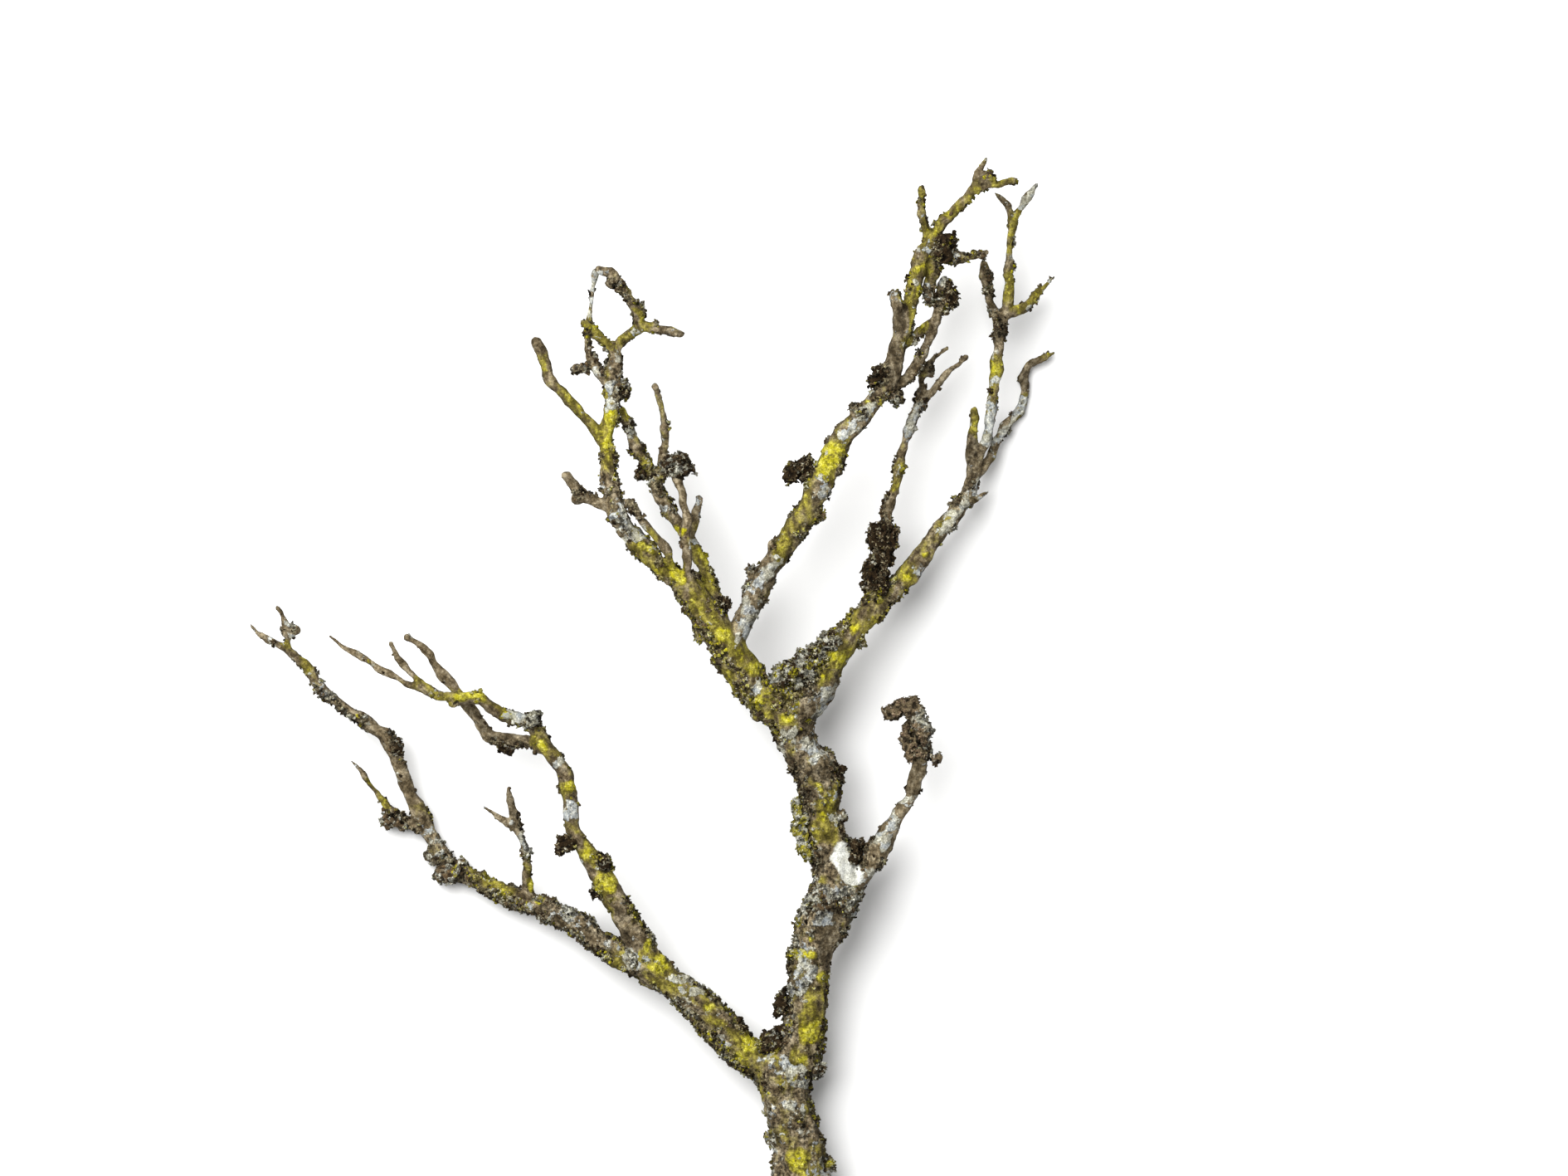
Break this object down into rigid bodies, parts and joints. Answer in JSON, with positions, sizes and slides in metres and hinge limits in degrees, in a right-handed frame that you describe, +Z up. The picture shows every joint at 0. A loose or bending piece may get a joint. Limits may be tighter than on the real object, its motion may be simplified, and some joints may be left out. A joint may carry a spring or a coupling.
{
  "type": "lichen-covered twig",
  "caption": "Bare branching twig lying on a surface, its rough bark crusted with yellow and pale grey lichen and set with dark ruffled tufts of it, one end cut flat.",
  "frame": {"origin": "on the surface that the twig lies on, under the centre of its bounding box", "axes": "+X to the twig's right as seen from above, +Y from the cut end towards the tips, +Z up from the surface"},
  "size_m": [0.2532, 0.39, 0.0434],
  "materials": {
    "bark": "matte",
    "dark_lichen": "matte",
    "pale_lichen": "matte",
    "yellow_lichen": "matte"
  },
  "bodies": {
    "root": {"trunk": "bark", "main_stem": "bark", "side_spur": "bark", "left_limb": "bark", "left_low_branch": "bark", "left_low_end_twig": "bark", "left_low_side_twig": "bark", "left_low_upright_twig": "bark", "left_high_branch": "bark", "left_high_end_twig": "bark", "left_high_rear_twig": "bark", "upper_left_limb": "bark", "tall_branch": "bark", "tall_branch_crown": "bark", "yellow_twig": "bark", "thin_rear_twig": "bark", "short_left_twig": "bark", "front_twig": "bark", "slanting_twig": "bark", "rear_branch": "bark", "middle_branch": "bark", "middle_branch_crown": "bark", "top_twig": "bark", "middle_side_twig": "bark", "right_limb": "bark", "lichened_twig": "bark", "right_upper_twig": "bark", "right_low_twig": "bark", "spur_head_lichen": "dark_lichen", "spur_crotch_lichen": "dark_lichen", "collar_lichen": "pale_lichen", "stem_left_lichen": "yellow_lichen", "stem_right_lichen": "dark_lichen", "lower_fork_lichen": "dark_lichen", "stem_stalk_lichen": "dark_lichen", "stem_low_lichen": "dark_lichen", "trunk_right_lichen": "pale_lichen", "upper_fork_lichen": "dark_lichen", "left_limb_lichen": "dark_lichen", "low_branch_lichen": "pale_lichen", "low_branch_upper_lichen": "pale_lichen", "low_end_lichen": "dark_lichen", "low_side_lichen": "pale_lichen", "high_branch_left_lichen": "dark_lichen", "high_branch_right_lichen": "dark_lichen", "high_branch_low_lichen": "dark_lichen", "high_knee_lichen": "dark_lichen", "high_rear_lichen": "dark_lichen", "front_twig_lichen": "dark_lichen", "rear_branch_lichen": "dark_lichen", "rear_crotch_lichen": "dark_lichen", "tall_branch_lichen": "dark_lichen", "middle_branch_left_lichen": "dark_lichen", "middle_branch_upper_lichen": "dark_lichen", "middle_crown_lichen": "dark_lichen", "middle_rear_lichen": "pale_lichen", "middle_side_lichen": "dark_lichen", "lichened_twig_lichen": "dark_lichen"}
  },
  "joints": []
}
